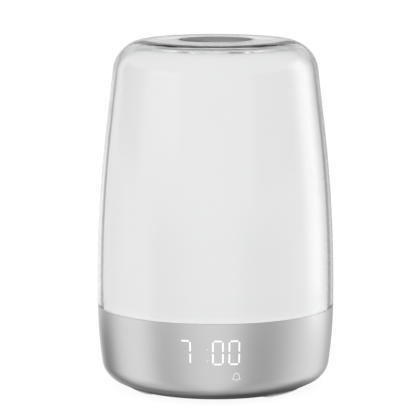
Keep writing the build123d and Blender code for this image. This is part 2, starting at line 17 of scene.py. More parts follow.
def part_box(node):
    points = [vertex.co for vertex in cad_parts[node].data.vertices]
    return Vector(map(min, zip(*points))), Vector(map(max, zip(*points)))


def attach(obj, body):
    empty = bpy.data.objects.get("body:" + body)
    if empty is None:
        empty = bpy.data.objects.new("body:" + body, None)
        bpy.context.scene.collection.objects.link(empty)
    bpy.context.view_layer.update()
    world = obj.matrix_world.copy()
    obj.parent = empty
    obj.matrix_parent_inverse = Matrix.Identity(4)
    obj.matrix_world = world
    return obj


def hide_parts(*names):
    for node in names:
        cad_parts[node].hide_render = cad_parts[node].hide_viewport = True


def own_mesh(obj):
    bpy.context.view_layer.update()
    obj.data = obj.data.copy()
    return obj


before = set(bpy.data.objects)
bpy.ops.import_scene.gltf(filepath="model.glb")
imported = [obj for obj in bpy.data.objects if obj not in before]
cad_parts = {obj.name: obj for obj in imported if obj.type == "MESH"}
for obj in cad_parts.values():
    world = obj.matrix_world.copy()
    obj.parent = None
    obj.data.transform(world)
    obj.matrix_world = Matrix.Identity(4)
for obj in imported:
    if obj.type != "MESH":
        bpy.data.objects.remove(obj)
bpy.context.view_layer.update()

# %% [markdown]
# ## Sizes
# A shell is drawn from a few circles and straight lines, so its outline needs only their radii.
# The heights that other pieces also depend on are read from the frame, and the rest are named
# here once, in metres, with a factor that turns millimetres into metres.

# %% Sizes of the shells
MM = 0.001
CLOCK = "clock"

under_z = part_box("base_housing")[0].z
seam_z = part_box("base_housing")[1].z
top_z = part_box("outer_dome")[1].z
flange_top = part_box("light_diffuser")[0].z

body_radius = 62.5 * MM
belly_z = under_z + 50.0 * MM
belly_curve = 742.0 * MM
dome_taper = 6.7
shoulder_radius = 17.3 * MM
base_curve = 237.0 * MM
base_fillet = 11.5 * MM
under_slope = 26.0
under_radius = 48.2 * MM

dome_wall = 2.6 * MM
diffuser_side = 3.2 * MM
diffuser_top = 4.5 * MM
diffuser_wall = 2.0 * MM
base_wall = 2.4 * MM
lip_wall = 1.3 * MM
slip = 0.1 * MM
collar_radius = 19.9 * MM
rim_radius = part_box("button_collar")[1].x
rim_thick = 0.8 * MM

seam_angle = math.degrees(math.asin((seam_z - belly_z) / belly_curve))
belly_centre = (body_radius - belly_curve, belly_z)
seam_radius = belly_centre[0] + belly_curve * math.cos(math.radians(seam_angle))
base_centre = (
    seam_radius - base_curve * math.cos(math.radians(seam_angle)),
    seam_z - base_curve * math.sin(math.radians(seam_angle)),
)
print(f"widest radius {body_radius / MM:.1f} mm, seam radius {seam_radius / MM:.2f} mm")

# %% [markdown]
# ## Outlines
# A turned piece is one closed outline of (radius, height) points, carried once round the axis.
# Round stretches are sampled from arcs, so they can be as fine as the reflections need: polished
# acrylic shows every facet, and a mirror-like surface is far less forgiving than a matt one.

# %% Outlines of the shells
wall_steps = 16
shoulder_steps = 64
fillet_steps = 28


def arc(centre, radius, first, last, count):
    """Points on an arc about a (radius, height) centre, between two angles in degrees."""
    turns = [math.radians(first + (last - first) * i / count) for i in range(count + 1)]
    return [(centre[0] + radius * math.cos(a), centre[1] + radius * math.sin(a)) for a in turns]


def dome_line(side, drop, floor):
    """Outer line of the dome from a floor up to the flat top, moved inwards and down."""
    taper = math.radians(dome_taper)
    curve = belly_curve - side
    rounding = shoulder_radius - side
    ceiling = top_z - drop
    bend = (belly_centre[0] + curve * math.cos(taper), belly_z + curve * math.sin(taper))
    run = (ceiling - rounding - bend[1] + rounding * math.sin(taper)) / math.cos(taper)
    shoulder = (bend[0] - run * math.sin(taper), bend[1] + run * math.cos(taper))
    centre = (shoulder[0] - rounding * math.cos(taper), shoulder[1] - rounding * math.sin(taper))
    first = math.degrees(math.asin((floor - belly_z) / curve))
    wall = arc(belly_centre, curve, first, dome_taper, wall_steps)
    return wall + arc(centre, rounding, dome_taper, 90.0, shoulder_steps)


def base_line(inset, ceiling):
    """Outer line of the base from its flat underside up to a ceiling, moved inwards."""
    slope = math.radians(under_slope)
    along = (math.cos(slope), math.sin(slope))
    start = (under_radius - base_fillet * along[1], under_z + base_fillet * along[0])
    offset = (start[0] - base_centre[0], start[1] - base_centre[1])
    half = offset[0] * along[0] + offset[1] * along[1]
    reach = base_curve - base_fillet
    step = -half + math.sqrt(half**2 - offset[0] ** 2 - offset[1] ** 2 + reach**2)
    centre = (start[0] + step * along[0], start[1] + step * along[1])
    rise = math.degrees(math.atan2(centre[1] - base_centre[1], centre[0] - base_centre[0]))
    top = math.degrees(math.asin((ceiling - base_centre[1]) / (base_curve - inset)))
    floor_r = under_radius - inset * math.tan(slope / 2)
    line = [(floor_r, under_z + inset)]
    line += arc(centre, base_fillet - inset, under_slope - 90.0, rise, fillet_steps)
    return line + arc(base_centre, base_curve - inset, rise, top, wall_steps)[1:]


dome_outside = dome_line(0.0, 0.0, seam_z)
base_outside = base_line(0.0, seam_z)
print(f"dome line {len(dome_outside)} points, base line {len(base_outside)} points")

# %% [markdown]
# ## A lathe made of Geometry Nodes
# Turning is a rule: the same outline at every angle. The tree lays out a grid with one column for
# each step and one row for each point of the outline, then moves every grid point to its place by
# looking up the outline's point. Seam and poles close when doubles are merged, and edges sharper
# than an angle stay crisp. The sizes are inputs of the tree, so one tree turns every shell.

# %% Helpers for node trees


def feed(tree, node, inputs):
    """Gives inputs, by name or place, plain values or links from the sockets of other nodes."""
    for place, value in inputs.items():
        if isinstance(value, bpy.types.NodeSocket):
            tree.links.new(value, node.inputs[place])
        else:
            node.inputs[place].default_value = value


def add_node(tree, kind, inputs=None, **settings):
    """New node with its properties and what its inputs are fed."""
    node = tree.nodes.new(kind)
    for name, value in settings.items():
        setattr(node, name, value)
    feed(tree, node, inputs or {})
    return node


def calc(tree, operation, *values, clamp=False):
    """Result of a math node whose inputs are numbers or the sockets of other nodes."""
    inputs = dict(enumerate(values))
    return add_node(tree, "ShaderNodeMath", inputs, operation=operation, use_clamp=clamp).outputs[0]


def split(tree, vector):
    return add_node(tree, "ShaderNodeSeparateXYZ", {0: vector}).outputs


def combined(tree, x, y, z):
    return add_node(tree, "ShaderNodeCombineXYZ", {0: x, 1: y, 2: z}).outputs[0]


def new_tree(name, kind, inputs, outputs):
    """Node group whose inputs are given by a default value, or by a type if they have none."""
    tree = bpy.data.node_groups.new(name, kind)
    kinds = {float: "Float", int: "Int", tuple: "Color"}
    for label, default in inputs.items():
        bare = isinstance(default, str)
        socket = "NodeSocket" + (default if bare else kinds[type(default)])
        made = tree.interface.new_socket(label, in_out="INPUT", socket_type=socket)
        if not bare:
            made.default_value = default
    for label, socket in outputs.items():
        tree.interface.new_socket(label, in_out="OUTPUT", socket_type="NodeSocket" + socket)
    return tree, tree.nodes.new("NodeGroupInput").outputs, tree.nodes.new("NodeGroupOutput")


def end_tree(tree, source, sink, geometry):
    """Makes instances real, sets the finish and leads the result out of a Geometry Nodes tree."""
    real = add_node(tree, "GeometryNodeRealizeInstances", {0: geometry}).outputs[0]
    inputs = {"Geometry": real, "Material": source["Finish"]}
    feed(tree, sink, {0: add_node(tree, "GeometryNodeSetMaterial", inputs).outputs[0]})
    return tree


print("helpers ready")

# %% Build the lathe tree


def build_lathe():
    """Geometry Nodes tree that turns a chain of points about the Z axis."""
    inputs = {
        "Outline": "Geometry", "Steps": 128, "Crease Angle": 0.5, "Merge Distance": 1e-6,
        "Finish": "Material",
    }
    tree, source, sink = new_tree("lathe", "GeometryNodeTree", inputs, {"Turned": "Geometry"})
    outline, steps = source["Outline"], source["Steps"]
    size = add_node(tree, "GeometryNodeAttributeDomainSize", {"Geometry": outline})
    rows = size.outputs["Point Count"]
    columns = calc(tree, "ADD", steps, 1.0)
    grid = add_node(tree, "GeometryNodeMeshGrid", {"Vertices X": columns, "Vertices Y": rows})

    index = add_node(tree, "GeometryNodeInputIndex").outputs[0]
    row = calc(tree, "FLOORED_MODULO", index, rows)
    column = calc(tree, "FLOOR", calc(tree, "DIVIDE", index, rows))
    angle = calc(tree, "MULTIPLY", calc(tree, "DIVIDE", column, steps), 2.0 * math.pi)
    place = add_node(tree, "GeometryNodeInputPosition").outputs[0]
    inputs = {"Geometry": outline, "Value": place, "Index": row}
    picked = add_node(tree, "GeometryNodeSampleIndex", inputs, data_type="FLOAT_VECTOR")
    radius, _, height = split(tree, picked.outputs["Value"])
    across = calc(tree, "MULTIPLY", radius, calc(tree, "COSINE", angle))
    deep = calc(tree, "MULTIPLY", radius, calc(tree, "SINE", angle))

    inputs = {"Geometry": grid.outputs["Mesh"], "Position": combined(tree, across, deep, height)}
    moved = add_node(tree, "GeometryNodeSetPosition", inputs).outputs[0]
    inputs = {"Geometry": moved, "Distance": source["Merge Distance"]}
    merged = add_node(tree, "GeometryNodeMergeByDistance", inputs).outputs[0]
    bend = add_node(tree, "GeometryNodeInputMeshEdgeAngle").outputs["Unsigned Angle"]
    inputs = {0: bend, 1: source["Crease Angle"]}
    sharp = add_node(tree, "FunctionNodeCompare", inputs, operation="GREATER_THAN").outputs[0]
    inputs = {"Geometry": merged, "Selection": sharp, "Shade Smooth": False}
    crease = add_node(tree, "GeometryNodeSetShadeSmooth", inputs, domain="EDGE")
    return end_tree(tree, source, sink, crease.outputs[0])


lathe = build_lathe()
print("lathe tree:", len(lathe.nodes), "nodes")

# %% [markdown]
# ## From tree to plain mesh
# A modifier's input is set by its socket's identifier, before the object is evaluated for the
# first time. The evaluated result then becomes a plain mesh, the modifier goes, and the shell is
# given outward normals, so that glass and metal both know their inside from their outside.

# %% Turning a piece
crease_angle = 28.0


def in_scene(name, data):
    made = bpy.data.objects.new(name, data)
    bpy.context.scene.collection.objects.link(made)
    return made


def mesh_object(name, verts, edges=(), faces=()):
    mesh = bpy.data.meshes.new(name)
    mesh.from_pydata(verts, edges, faces)
    return in_scene(name, mesh)


@contextmanager
def opened(mesh):
    """The mesh as an editable one, written back after the steps that use it."""
    work = bmesh.new()
    work.from_mesh(mesh)
    yield work
    work.to_mesh(mesh)
    work.free()


def keep_result(made, modifier):
    """Makes what the modifier gives the object's plain mesh, and takes the modifier away."""
    graph = bpy.context.evaluated_depsgraph_get()
    mesh = bpy.data.meshes.new_from_object(made.evaluated_get(graph), depsgraph=graph)
    made.modifiers.remove(modifier)
    made.data = mesh
    return made


def run_tree(made, tree, values):
    """Evaluates a tree on an object with the given inputs and keeps the result as its mesh."""
    modifier = made.modifiers.new(tree.name, "NODES")
    modifier.node_group = tree
    for item in tree.interface.items_tree:
        if item.in_out == "INPUT" and item.name in values:
            modifier[item.identifier] = values[item.name]
    mesh = keep_result(made, modifier).data
    mesh.name = made.name
    mesh.materials.clear()
    mesh.materials.append(values["Finish"])
    return made


def face_outwards(made):
    with opened(made.data) as work:
        bmesh.ops.recalc_face_normals(work, faces=work.faces)
    made.data.update()
    return made


def turned(name, outline, finish, steps=192):
    """Closed piece turned from a closed outline of (radius, height) points."""
    points = [(r, 0.0, z) for r, z in outline + outline[:1]]
    made = mesh_object(name, points, [(i, i + 1) for i in range(len(outline))])
    values = {"Steps": steps, "Finish": finish, "Crease Angle": math.radians(crease_angle)}
    return face_outwards(run_tree(made, lathe, values))


def settle(made, body, slot, *nodes):
    """The piece rides on its body and stands for CAD nodes, which it hides; slot is not used."""
    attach(made, body)
    if nodes:
        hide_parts(*nodes)
    return made


print("turning tools ready")

# %% [markdown]
# ## Finishes
# Real surfaces are never one flat value. Metal has a blasted grain, moulded plastic a faint
# texture from its mould, and both gather soft smudges that dull the gloss here and there. These
# effects are shader groups with named inputs, built once and placed in each material with its own
# numbers. The shaders themselves stay in the materials.

# %% Shader groups for grain and smudges
surface_outputs = {"Colour": "Color", "Roughness": "Float", "Height": "Float"}
smudge_share, grain_share = 0.7, 0.3


def noise(tree, vector, scale, detail, roughness=0.5):
    inputs = {"Vector": vector, "Scale": scale, "Detail": detail, "Roughness": roughness}
    return add_node(tree, "ShaderNodeTexNoise", inputs).outputs["Fac"]


def about_axis(tree):
    """Distance from the clock's axis and height, from the object's own coordinates."""
    x, y, z = split(tree, add_node(tree, "ShaderNodeTexCoord").outputs["Object"])
    squares = [calc(tree, "POWER", side, 2.0) for side in (x, y)]
    return calc(tree, "SQRT", calc(tree, "ADD", *squares)), z


def spread_about(tree, middle, change, mask):
    """Runs from middle - change to middle + change as the mask goes from 0 to 1."""
    low, high = calc(tree, "SUBTRACT", middle, change), calc(tree, "ADD", middle, change)
    inputs = {"Value": mask, "To Min": low, "To Max": high}
    return add_node(tree, "ShaderNodeMapRange", inputs).outputs["Result"]


def end_surface(tree, source, sink, tone, gloss, height):
    """Leads out a colour that follows one mask, a roughness that follows another and a height."""
    factor = spread_about(tree, 1.0, source["Colour Change"], tone)
    inputs = {0: source["Colour"], "Scale": factor}
    colour = add_node(tree, "ShaderNodeVectorMath", inputs, operation="SCALE").outputs[0]
    rough = spread_about(tree, source["Roughness"], source["Roughness Change"], gloss)
    feed(tree, sink, {"Colour": colour, "Roughness": rough, "Height": height})
    return tree


def build_surface_grain():
    """Fine grain with soft smudges: colour, roughness and height for most materials here."""
    inputs = {
        "Colour": (0.5, 0.5, 0.5, 1.0), "Colour Change": 0.03, "Grain Scale": 2500.0,
        "Roughness": 0.4, "Roughness Change": 0.08, "Smudge Scale": 40.0,
    }
    tree, source, sink = new_tree("surface_grain", "ShaderNodeTree", inputs, surface_outputs)
    spot = add_node(tree, "ShaderNodeTexCoord").outputs["Object"]
    fine = noise(tree, spot, source["Grain Scale"], 2.0)
    smudge = noise(tree, spot, source["Smudge Scale"], 4.0, 0.6)
    tone = calc(tree, "MULTIPLY", calc(tree, "ADD", fine, smudge), 0.5)
    soft = calc(tree, "MULTIPLY", smudge, smudge_share)
    gloss = calc(tree, "ADD", soft, calc(tree, "MULTIPLY", fine, grain_share))
    return end_surface(tree, source, sink, tone, gloss, fine)


def build_turned_lines():
    """Lines that run round the axis, as a lathe or a brush leaves them on turned metal."""
    inputs = {
        "Colour": (0.7, 0.7, 0.7, 1.0), "Colour Change": 0.04, "Line Scale": 4000.0,
        "Roughness": 0.3, "Roughness Change": 0.05,
    }
    tree, source, sink = new_tree("turned_lines", "ShaderNodeTree", inputs, surface_outputs)
    radius, height = about_axis(tree)
    spot = combined(tree, radius, height, 0.0)
    lines = noise(tree, spot, source["Line Scale"], 3.0, 0.6)
    return end_surface(tree, source, sink, lines, lines, lines)


surface_grain = build_surface_grain()
turned_lines = build_turned_lines()
print("shader groups:", surface_grain.name, turned_lines.name)

# %% [markdown]
# ## One function for an ordinary finish
# Most finishes here are the same shader with other numbers: a group gives colour, roughness and
# height, and constants such as metalness or the index of refraction sit on the shader's own
# sockets, because an export reads them only there.

# %% Making a finish


def finish_of(name, group, values, depth=0.0, **constants):
    """Material from a Principled shader, fed by a shader group, with a bump of a given depth."""
    made = bpy.data.materials.new(name)
    made.use_nodes = True
    tree = made.node_tree
    placed = add_node(tree, "ShaderNodeGroup", values, node_tree=group).outputs
    inputs = {"Base Color": placed["Colour"], "Roughness": placed["Roughness"]}
    if depth:
        bump = {"Distance": depth, "Height": placed["Height"]}
        inputs["Normal"] = add_node(tree, "ShaderNodeBump", bump).outputs["Normal"]
    inputs.update({label.replace("_", " "): value for label, value in constants.items()})
    feed(tree, tree.nodes["Principled BSDF"], inputs)
    return made


def grain(name, colour, roughness, scale=2500.0, depth=0.02 * MM, change=0.03, spread=0.06, **more):
    """Moulded or blasted surface."""
    values = {
        "Colour": (*colour, 1.0), "Colour Change": change, "Grain Scale": scale,
        "Roughness": roughness, "Roughness Change": spread,
    }
    return finish_of(name, surface_grain, values, depth, **more)


def lathed(name, colour, roughness, scale=4000.0, depth=0.004 * MM, spread=0.05):
    """Metal with fine lines round the axis."""
    values = {
        "Colour": (*colour, 1.0), "Line Scale": scale,
        "Roughness": roughness, "Roughness Change": spread,
    }
    return finish_of(name, turned_lines, values, depth, Metallic=1.0)


acrylic = grain(
    "clear_acrylic", (0.985, 0.988, 0.99), 0.015, 300.0, 0.0, 0.004, 0.012,
    IOR=1.49, Transmission_Weight=1.0,
)
opal = grain("opal_acrylic", (0.845, 0.845, 0.85), 0.34, 1800.0, 0.004 * MM, 0.006, 0.04, IOR=1.49)
satin_aluminium = grain(
    "satin_aluminium", (0.70, 0.70, 0.705), 0.30, 5200.0, 0.0015 * MM, 0.02, 0.015, Metallic=1.0
)
print("first finishes:", acrylic.name, opal.name, satin_aluminium.name)

# %% [markdown]
# ## The clear dome
# The dome is a thick clear shell with an even wall, a flat top with a stepped hole for the
# button's collar, and a tongue at its foot that laps inside the base. It is turned as one closed
# skin, inside and outside together, because glass bends light by the thickness between them.
# Diffuse and shadow rays pass it by, because it would take little of their light, and tracing them
# through it adds noise.

# %% Turn the clear dome
tongue_radius = seam_radius - lip_wall - slip
hole_radius = rim_radius + slip
neck_radius = collar_radius + slip
edge_round = 0.12 * MM


def softened(corner, before, after, size):
    """Two points in place of one corner, each a little way along its two lines."""
    made = []
    for other in (before, after):
        share = min(size / math.dist(corner, other), 0.4)
        made.append(tuple(c + (o - c) * share for c, o in zip(corner, other)))
    return made


def soften(outline, corners, size):
    """Closed outline with the corners at some points cut back."""
    made = []
    for i, point in enumerate(outline):
        if any(math.dist(point, corner) < slip / 10 for corner in corners):
            made += softened(point, outline[i - 1], outline[(i + 1) % len(outline)], size)
        else:
            made.append(point)
    return made


dome_outline = [(tongue_radius, flange_top), (tongue_radius, seam_z)] + dome_outside
dome_outline += [(hole_radius, top_z), (hole_radius, top_z - rim_thick)]
dome_outline += [(neck_radius, top_z - rim_thick), (neck_radius, top_z - dome_wall)]
dome_outline += dome_line(dome_wall, dome_wall, flange_top)[::-1]
dome_outline = soften(dome_outline, [(hole_radius, top_z), dome_outside[0]], edge_round)
dome = turned("clear_dome", dome_outline, acrylic, 320)
settle(dome, CLOCK, "clear_plastic", "outer_dome")
dome.visible_diffuse = False
dome.visible_shadow = False
print("clear dome:", len(dome.data.polygons), "faces")

# %% [markdown]
# ## The opal diffuser
# Inside the dome stands a shell of opal plastic that spreads the lamp's light. It follows the
# dome's line a few millimetres further in, so it reads as a soft white form under clear glass.
# Opal plastic carries light along inside its wall, so its foot stays bright where the base stands
# close around it and shades it. Scattering in so thin a wall is slow and noisy to trace, so painted
# light stands in for it: a faint glow that fades out a few millimetres above the seam and lightens
# the shade there.

# %% Turn the diffuser
opal_line = dome_line(diffuser_side, diffuser_top, flange_top)
opal_inside = dome_line(diffuser_side + diffuser_wall, diffuser_top + diffuser_wall, flange_top)
opal_line += [(neck_radius, top_z - diffuser_top)]
opal_line += [(neck_radius, top_z - diffuser_top - diffuser_wall)] + opal_inside[::-1]
painted_glow_level = 0.36
painted_glow_fade = 2.3 * MM


def paint_foot_light(material):
    """Painted light: emission that fades upwards from the seam and lightens the shade at the foot."""
    tree = material.node_tree
    place = split(tree, add_node(tree, "ShaderNodeTexCoord").outputs["Object"])
    drop = calc(tree, "SUBTRACT", seam_z, place["Z"])
    level = calc(tree, "EXPONENT", calc(tree, "DIVIDE", drop, painted_glow_fade))
    inputs = {"Emission Color": level, "Emission Strength": painted_glow_level}
    feed(tree, tree.nodes["Principled BSDF"], inputs)


# The opal shell's foot gets a painted glow in place of light scattered in its wall.
paint_foot_light(opal)
diffuser = turned("opal_diffuser", opal_line, opal, 192)
settle(diffuser, CLOCK, "opal_plastic", "light_diffuser")
print("opal diffuser:", len(diffuser.data.polygons), "faces")

# %% [markdown]
# ## The satin base
# The base is a bowl whose wall curves slowly into a rounded foot. It is turned like the shells
# above, and then two cuts follow: the rounded opening at the back that the control panel fills,
# and the pocket inside the front where the wall is thin enough for the display to shine through.

# %% Cutting tools


def boxed(name, low, high):
    """Plain closed box between two corners."""
    made = mesh_object(name, [])
    low, high = Vector(low), Vector(high)
    place = Matrix.Translation((low + high) / 2) @ Matrix.Diagonal((*(high - low), 1.0))
    with opened(made.data) as work:
        bmesh.ops.create_cube(work, size=1.0)
        bmesh.ops.transform(work, matrix=place, verts=work.verts)
    return made


def rounded_block(name, low, high, corner, steps=10):
    """Box whose four edges along Y are rounded."""
    made = boxed(name, low, high)
    with opened(made.data) as work:
        runs = [(edge, edge.verts[0].co - edge.verts[1].co) for edge in work.edges]
        deep = [edge for edge, run in runs if abs(run.normalized().y) > 0.99]
        bmesh.ops.bevel(work, geom=deep, offset=corner, segments=steps, profile=0.5, affect="EDGES")
    return made


def cut(made, cutter, operation="DIFFERENCE"):
    """Boolean with a cutter that is thrown away afterwards."""
    modifier = made.modifiers.new("cut", "BOOLEAN")
    modifier.operation = operation
    modifier.solver = "EXACT"
    modifier.object = cutter
    keep_result(made, modifier)
    bpy.data.objects.remove(cutter)
    return made


def shade(made, angle):
    """Smooth shading with crisp edges above an angle in degrees."""
    made.data.shade_smooth()
    made.data.set_sharp_from_angle(angle=math.radians(angle))
    return made


print("cutting tools ready")

# %% Turn and cut the base
opening_radius = 45.5 * MM
rebate_radius = 47.6 * MM
rebate_depth = 1.2 * MM
window_wall = 0.9 * MM
wall_gap = 0.3 * MM
panel_corner = 4.0 * MM
ledge_z = flange_top - 2.0 * MM
lip_radius = seam_radius - lip_wall

base_outline = [(opening_radius, under_z + base_wall), (opening_radius, under_z + rebate_depth)]
base_outline += [(rebate_radius, under_z + rebate_depth), (rebate_radius, under_z)]
base_outline += base_outside + [(lip_radius, seam_z), (lip_radius, ledge_z)]
base_outline += base_line(base_wall, ledge_z)[::-1]
base_outline = soften(base_outline, [base_outside[-1], (rebate_radius, under_z)], edge_round)
base = turned("satin_base", base_outline, satin_aluminium, 256)

panel_low, panel_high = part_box("rear_panel")
opening = rounded_block(
    "rear_opening",
    (panel_low.x, panel_low.y - base_wall, panel_low.z),
    (panel_high.x, body_radius + base_wall, panel_high.z),
    panel_corner,
)
cut(base, opening)

block_low, block_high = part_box("display_block")
pocket_outline = base_line(window_wall, seam_z) + [(0.0, seam_z), (0.0, under_z + window_wall)]
pocket = turned("pocket", pocket_outline, opal, 256)
reach = boxed(
    "pocket_reach",
    (block_low.x - wall_gap, -body_radius, block_low.z - wall_gap),
    (block_high.x + wall_gap, block_high.y, block_high.z + wall_gap),
)
cut(base, cut(pocket, reach, "INTERSECT"))
shade(face_outwards(base), crease_angle)
settle(base, CLOCK, "silver_housing", "base_housing")
print("satin base:", len(base.data.polygons), "faces")

# %% [markdown]
# ## Soft edges for the small mouldings
# The other pieces that show keep the shape that the frame gives them. A copy of each is cleaned of
# its loose triangles, and most get a narrow bevel along every real edge, because an edge without
# any radius never catches a highlight and makes a part look like a drawing. The collar, the button
# and the button's spring, which stands on the switch board, are cleaned and smoothed without a bevel.

# %% Refining a frame node
same_point = 0.002 * MM
flat_angle = math.radians(0.6)


def refined(node, name, finish, edge=0.2 * MM, steps=2, angle=32.0):
    """Copy of a frame node with merged points, flat faces joined and its edges rounded."""
    made = in_scene(name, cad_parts[node].data.copy())
    made.data.name = name
    with opened(made.data) as work:
        bmesh.ops.remove_doubles(work, verts=work.verts, dist=same_point)
        bmesh.ops.dissolve_limit(
            work, angle_limit=flat_angle, verts=work.verts, edges=work.edges, delimit={"NORMAL"}
        )
        bmesh.ops.recalc_face_normals(work, faces=work.faces)
    made.data.materials.clear()
    made.data.materials.append(finish)
    shade(made, angle)
    if edge:
        bevel = made.modifiers.new("edges", "BEVEL")
        bevel.width = edge
        bevel.segments = steps
        bevel.limit_method = "ANGLE"
        bevel.angle_limit = math.radians(angle)
        bevel.harden_normals = True
    return made


collar_metal = lathed("polished_collar", (0.82, 0.82, 0.825), 0.12, 3000.0, 0.002 * MM, 0.04)
button_finish = grain(
    "dark_satin_metal", (0.30, 0.30, 0.305), 0.26, 5200.0, 0.0015 * MM, 0.03, 0.03, Metallic=1.0,
    Specular_Tint=(0.52, 0.52, 0.52, 1.0),
)
collar = refined("button_collar", "polished_collar_cup", collar_metal, 0.0)
settle(collar, CLOCK, "polished_ring", "button_collar")
button = refined("top_button", "metal_push_button", button_finish, 0.0)
settle(button, "top_button", "button_metal", "top_button")

spring_wire = grain(
    "spring_wire", (0.58, 0.58, 0.59), 0.22, 2600.0, 0.002 * MM, 0.05, 0.06, Metallic=1.0
)
spring = refined("button_spring", "coil_spring", spring_wire, 0.0, angle=60.0)
settle(spring, CLOCK, "spring_steel", "button_spring")
low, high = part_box("button_spring")
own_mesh(spring)

# %% [markdown]
# ## The back and the underside
# The control panel is a moulding in dark plastic, its keys a lighter one, and the power socket a
# black one with a metal pin. Below, a dark cover closes the base and stands on four rubber arcs.

# %% Refine the rear panel, keys, socket, cover and feet
panel_plastic = grain("dark_moulding", (0.060, 0.061, 0.064), 0.46, 1900.0, 0.02 * MM, 0.06)
key_plastic = grain("key_moulding", (0.42, 0.43, 0.44), 0.40, 2600.0, 0.008 * MM, 0.03, 0.05)
socket_plastic = grain(
    "socket_moulding", (0.018, 0.018, 0.019), 0.30, 3000.0, 0.006 * MM, 0.05, 0.05
)
cover_plastic = grain("cover_moulding", (0.085, 0.086, 0.09), 0.55, 1500.0, 0.03 * MM, 0.07)
pad_rubber = grain("pale_rubber", (0.62, 0.62, 0.63), 0.62, 1800.0, 0.01 * MM, 0.04)
pin_metal = lathed("socket_pin", (0.78, 0.70, 0.50), 0.25)

back_pieces = [
    # node, name of the piece, finish, slot, width of its edges, steps across an edge
    ("rear_panel", "control_panel", panel_plastic, "dark_plastic", 0.3 * MM, 3),
    ("power_jack", "power_socket", socket_plastic, "chip_black", 0.0, 2),
    ("bottom_cover", "underside_cover", cover_plastic, "dark_plastic", 0.15 * MM, 2),
    ("rubber_feet", "rubber_arcs", pad_rubber, "foot_rubber", 0.15 * MM, 2),
]
for node, name, finish, slot, edge, steps in back_pieces:
    settle(refined(node, name, finish, edge, steps), CLOCK, slot, node)
key_names = ("clock_key", "alarm_key", "minus_key", "plus_key", "sound_key")
for node in key_names:
    settle(refined(node, node + "_cap", key_plastic, 0.12 * MM), node, "key_plastic", node)
print("refined:", len(back_pieces), "pieces and", len(key_names), "keys")

# %% [markdown]
# ## Signs on the wall
# The figures are light that comes through the metal, so they have width but no thickness to speak
# of. They are drawn flat, as strips in millimetres along the wall and upwards. A second tree then
# wraps the drawing on the wall's curve and gives it a hair of depth. Drawing flat and wrapping
# afterwards keeps every stroke at its true width, wherever it lands on the bowl.

# %% Build the wrapping tree


def build_wrap():
    """Geometry Nodes tree that lays a flat drawing (along, up) on the base's curved wall."""
    inputs = {
        "Drawing": "Geometry", "Wall Curve": 0.237, "Centre Radius": -0.175,
        "Centre Height": 0.046, "Unit Radius": 0.0618, "Proud": 0.00002, "Depth": 0.0001,
        "Finish": "Material",
    }
    tree, source, sink = new_tree("wrap_on_wall", "GeometryNodeTree", inputs, {"Sign": "Geometry"})
    along, _, up = split(tree, add_node(tree, "GeometryNodeInputPosition").outputs[0])
    angle = calc(tree, "DIVIDE", along, source["Unit Radius"])
    rise = calc(tree, "SUBTRACT", up, source["Centre Height"])
    curve = source["Wall Curve"]
    squares = [calc(tree, "MULTIPLY", side, side) for side in (curve, rise)]
    wall = calc(tree, "SQRT", calc(tree, "SUBTRACT", *squares))
    wall = calc(tree, "ADD", wall, source["Centre Radius"])
    radius = calc(tree, "ADD", wall, source["Proud"])
    across = calc(tree, "MULTIPLY", radius, calc(tree, "SINE", angle))
    back = calc(tree, "MULTIPLY", radius, calc(tree, "COSINE", angle))
    spot = combined(tree, across, calc(tree, "MULTIPLY", back, -1.0), up)
    inputs = {"Geometry": source["Drawing"], "Position": spot}
    moved = add_node(tree, "GeometryNodeSetPosition", inputs).outputs[0]

    inward = calc(tree, "MULTIPLY", source["Depth"], -1.0)
    inputs = {"Mesh": moved, "Offset Scale": inward, "Individual": False}
    thick = add_node(tree, "GeometryNodeExtrudeMesh", inputs, mode="FACES").outputs["Mesh"]
    both = add_node(tree, "GeometryNodeJoinGeometry", {0: thick})
    feed(tree, both, {0: moved})
    inputs = {"Geometry": both.outputs[0], "Distance": 1e-6}
    closed = add_node(tree, "GeometryNodeMergeByDistance", inputs)
    return end_tree(tree, source, sink, closed.outputs[0])


wrap_on_wall = build_wrap()
print("wrapping tree:", len(wrap_on_wall.nodes), "nodes")

# %% [markdown]
# ## Strokes of a figure
# Each figure is made of seven bars. A bar is a strip of small faces along a line, so that it can
# bend with the wall, and its ends taper to a blunt point like the cells of a real display.

# %% Drawing strips
blunt_share = 0.30


def strip(points, width, closed=False):
    """Vertices and faces of an even strip along (along, up) points, joined at mitred corners."""
    count = len(points)
    verts, faces = [], []
    for i, (x, z) in enumerate(points):
        before = points[i - 1] if closed or i else points[i]
        after = points[(i + 1) % count] if closed or i < count - 1 else points[i]
        legs = []
        for a, b in ((before, (x, z)), ((x, z), after)):
            run = math.dist(a, b)
            if run > 0:
                legs.append(((b[0] - a[0]) / run, (b[1] - a[1]) / run))
        tangent = (sum(leg[0] for leg in legs), sum(leg[1] for leg in legs))
        size = math.hypot(*tangent)
        side = (-tangent[1] / size, tangent[0] / size)
        mitre = 0.5 * width / max(0.5, side[0] * -legs[0][1] + side[1] * legs[0][0])
        verts.append((x + side[0] * mitre, 0.0, z + side[1] * mitre))
        verts.append((x - side[0] * mitre, 0.0, z - side[1] * mitre))
    for i in range(count if closed else count - 1):
        a, b = 2 * i, 2 * ((i + 1) % count)
        faces.append((a, a + 1, b + 1, b))
    return verts, faces


def bar(x, z, length, width, upright, steps=8):
    """One bar of a figure: a strip whose ends are narrowed to a blunt point."""
    half, blunt = length / 2, width * blunt_share
    even = half - blunt
    ends = [-half] + [-even + 2 * even * i / steps for i in range(steps + 1)] + [half]
    verts = []
    for place in ends:
        wide = width / 2 if abs(place) < half - blunt / 2 else width / 4
        for side in (wide, -wide):
            verts.append((x - side, 0.0, z + place) if upright else (x + place, 0.0, z + side))
    return verts, [(a, a + 1, a + 3, a + 2) for a in range(0, 2 * len(ends) - 2, 2)]


